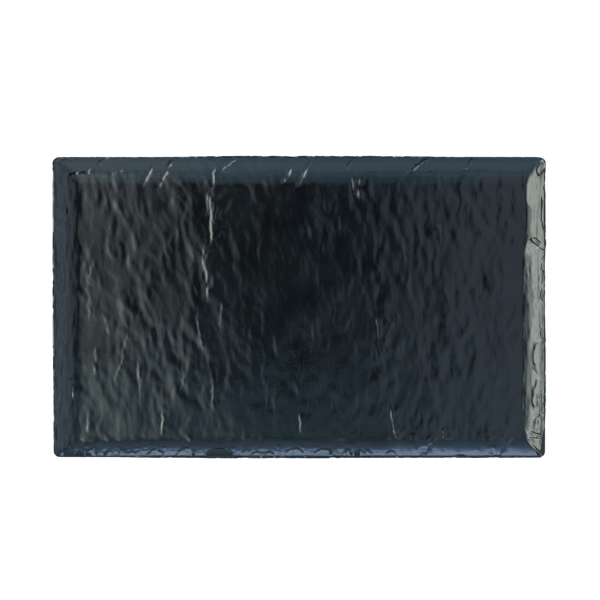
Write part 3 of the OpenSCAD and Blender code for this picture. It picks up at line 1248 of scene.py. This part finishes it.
LAMPS: tuple[CeilingPanel | Softbox, ...] = (
    CeilingPanel("ceiling_left_0", (-8.2, -5.2), (-5, 13), (0.10, 0.125, 0.135)),
    *strips("ceiling_left", (-8.2, -15, -22, -30, -38),
            (0.42, 0.50, 0.52), (0.70, 0.83, 0.86), (1.55, 1.78, 1.75), (2.60, 2.90, 2.80)),
    *strips("ceiling_right", (4, 7, 12, 17, 27, 38), (0.10, 0.135, 0.18), (0.27, 0.37, 0.47),
            (0.46, 0.55, 0.68), (0.41, 0.50, 0.61), (0.56, 0.68, 0.84)),
    CeilingPanel("ceiling_near_1", (-8.2, 4), (-12, -5), (0.20, 0.37, 0.49)),
    CeilingPanel("ceiling_near_2", (-8.2, 4), (-38, -12), (0.36, 0.52, 0.70)),
    CeilingPanel("ceiling_near_3", (-38, -12.5), (-38, -4), (0.28, 0.44, 0.42), 2.3),
    CeilingPanel("ceiling_near_4", (-38, -12.5), (-4, -1.5), (0.14, 0.22, 0.22), 2.3),
    CeilingPanel("ceiling_near_5", (-12.5, -8.2), (-38, -2.5), (0.10, 0.21, 0.26), 2.3),
    CeilingPanel("ceiling_near_6", (4, 38), (-38, -5), (0.035, 0.11, 0.145), 2.3),
    CeilingPanel("ceiling_near_7", (-38, 38), (-38, -26), (0.12, 0.22, 0.32), 2.2),
    CeilingPanel("ceiling_middle", (-5.2, 4), (-5, 4), (0.02, 0.026, 0.032)),
    CeilingPanel("ceiling_far", (-8.2, 4), (13, 38), (0.24, 0.36, 0.47)),
    CeilingPanel("ceiling_far_right", (8, 38), (13, 38), (0.16, 0.25, 0.27), 2.3),
    *bank("left", 180, 44, (42, 8, (3.7, 4.1, 4)), (50.5, 9, (5.4, 5.9, 5.5)),
          (59, 8, (3.8, 4.2, 3.8)), (68, 10, (5, 5.5, 4.9)), (78.5, 11, (3.2, 3.5, 3.3)),
          (88, 8, (1.8, 2, 1.9))),
    Softbox("left_near", 212, 62, (20, 30), (3.4, 3.8, 3.6)),
    *bank("right", 0, 80, (41.5, 9, (0.52, 0.66, 0.82)), (50.5, 9, (0.90, 1.06, 1.26)),
          (59, 8, (0.46, 0.60, 0.76)), (67.5, 9, (0.92, 1.12, 1.34)), (81, 18, (0.50, 0.66, 0.82))),
    *bank("near", 270, 100, (45, 14, (0.57, 0.88, 1.16)), (59, 14, (0.61, 0.93, 1.24)),
          (71, 10, (0.52, 0.80, 1.10)), (83, 14, (0.25, 0.38, 0.52))),
    Softbox("near_left", 252, 59, (20, 30), (0.22, 0.17, 0.11), 2.1),
    *bank("far", 90, 80, (44, 12, (0.34, 0.52, 0.68)), (54, 8, (0.40, 0.63, 0.90)),
          (61.5, 7, (0.48, 0.78, 1.16)), (68, 6, (0.62, 1.02, 1.52)), (73.25, 4.5, (1.10, 1.72, 2.56)),
          (77.25, 3.5, (1.80, 2.65, 3.80)), (85.5, 13, (2.60, 3.45, 4.65))),
)


@dataclass
class Studio:
    """The floor, the lamps, the surroundings and the camera, which looks straight down."""

    dish: Dish
    lamps: tuple[CeilingPanel | Softbox, ...] = LAMPS
    photo_size: float = 600.0
    outline_width_px: float = 494.1
    outline_middle_px: Point = (299.25, 307.15)
    camera_height: float = 1.4
    sensor: float = 36.0
    floor_half: float = 20.0
    floor_drop: float = 0.1 * MM
    floor_grey: float = 0.45
    floor_glow: float = 0.82
    surroundings: float = 0.008

    def build(self) -> None:
        """Sets up the whole studio."""
        self.lay_floor()
        for lamp in self.lamps:
            lamp.build()
        self.set_world()
        self.place_camera()

    def lay_floor(self) -> None:
        """Lays a plain pale floor that shows white to the camera and keeps the platter's shadow."""
        bm = bmesh.new()
        bmesh.ops.create_grid(bm, x_segments=1, y_segments=1, size=self.floor_half)
        bmesh.ops.translate(bm, verts=bm.verts, vec=(0.0, 0.0, -self.floor_drop))
        mesh = finished_mesh(bm, "studio_floor")
        mesh.materials.append(self.floor_material())
        add_object("studio_floor", mesh)

    @staticmethod
    def seen(nodes: Nodes) -> bpy.types.NodeSocket:
        """A mask of the rays by which the camera, a reflection or glass sees the floor.

        Args:
            nodes: Helper for the material's nodes.

        Returns:
            The mask's socket.
        """
        path = nodes.add("LightPath")
        mask = path.outputs["Is Camera Ray"]
        for ray in ("Is Glossy Ray", "Is Transmission Ray"):
            mask = nodes.add("Math", {0: mask, 1: path.outputs[ray]}, operation="MAXIMUM").outputs[0]
        return mask

    def floor_material(self) -> bpy.types.Material:
        """A pale floor with a white glow for the camera, clear when it is seen from below.

        Returns:
            The material.
        """
        material, nodes = fresh_material("studio_floor")
        grey = self.floor_grey
        pale = nodes.add("BsdfDiffuse", {"Color": (grey, grey, grey, 1.0)})
        share = nodes.add("Math", {0: self.seen(nodes), 1: self.floor_glow}, operation="MULTIPLY")
        glow = nodes.add("Emission", {"Color": (1.0, 1.0, 1.0, 1.0), "Strength": share.outputs[0]})
        lit = nodes.add("AddShader", {0: pale.outputs[0], 1: glow.outputs[0]})
        back = nodes.add("NewGeometry").outputs["Backfacing"]
        clear = nodes.add("BsdfTransparent")
        shown = nodes.add("MixShader", {0: back, 1: lit.outputs[0], 2: clear.outputs[0]})
        nodes.add("OutputMaterial", {"Surface": shown.outputs[0]})
        return material

    def set_world(self) -> None:
        """Makes the surroundings white to the camera and dim to everything else."""
        world = bpy.data.worlds.new("studio")
        world.use_nodes = True
        world.node_tree.nodes.clear()
        nodes = Nodes(world.node_tree)
        camera_ray = nodes.add("LightPath").outputs["Is Camera Ray"]
        level = nodes.add("MapRange", {"Value": camera_ray, "To Min": self.surroundings, "To Max": 1.0})
        sky = nodes.add("Background", {"Color": (1.0, 1.0, 1.0, 1.0), "Strength": level.outputs["Result"]})
        nodes.add("OutputWorld", {"Surface": sky.outputs[0]})
        bpy.context.scene.world = world

    def place_camera(self) -> None:
        """Hangs the camera so that the outline falls where the photograph has it."""
        pixel = 2 * self.dish.half_x / self.outline_width_px
        data = bpy.data.cameras.new("camera")
        data.sensor_width = self.sensor
        data.lens = self.sensor * self.camera_height / (pixel * self.photo_size)
        camera = add_object("camera", data)
        middle = self.photo_size / 2
        camera.location = (
            (middle - self.outline_middle_px[0]) * pixel,
            (self.outline_middle_px[1] - middle) * pixel,
            self.dish.top_z + self.camera_height,
        )
        bpy.context.scene.camera = camera


def main() -> None:
    """Builds the platter's pieces in order, and then the studio round them."""
    logging.basicConfig(level=logging.INFO, format="%(name)s: %(message)s")
    bpy.context.scene.view_settings.view_transform = "Standard"
    dish = Dish.from_frame()
    face = SlateFace(dish, SlateRelief(dish, CLEFTS, RIM_CHIPS, CHIP_ROWS))
    leaf = face.build()
    face.dress(leaf, SLATE_GLAZE)
    LOG.info("%s has %d faces", leaf.name, len(leaf.data.polygons))
    FramePieces(("platter_shell",), SHELL_MELAMINE).dress()
    feet = tuple(name for name in frame["nodes"] if name.startswith("foot_") and name != "foot_adhesive")
    FramePieces(feet, FOOT_SILICONE).dress()
    FramePieces(("foot_adhesive",), ADHESIVE_FILM).dress()
    Studio(dish).build()


if __name__ == "__main__":
    main()
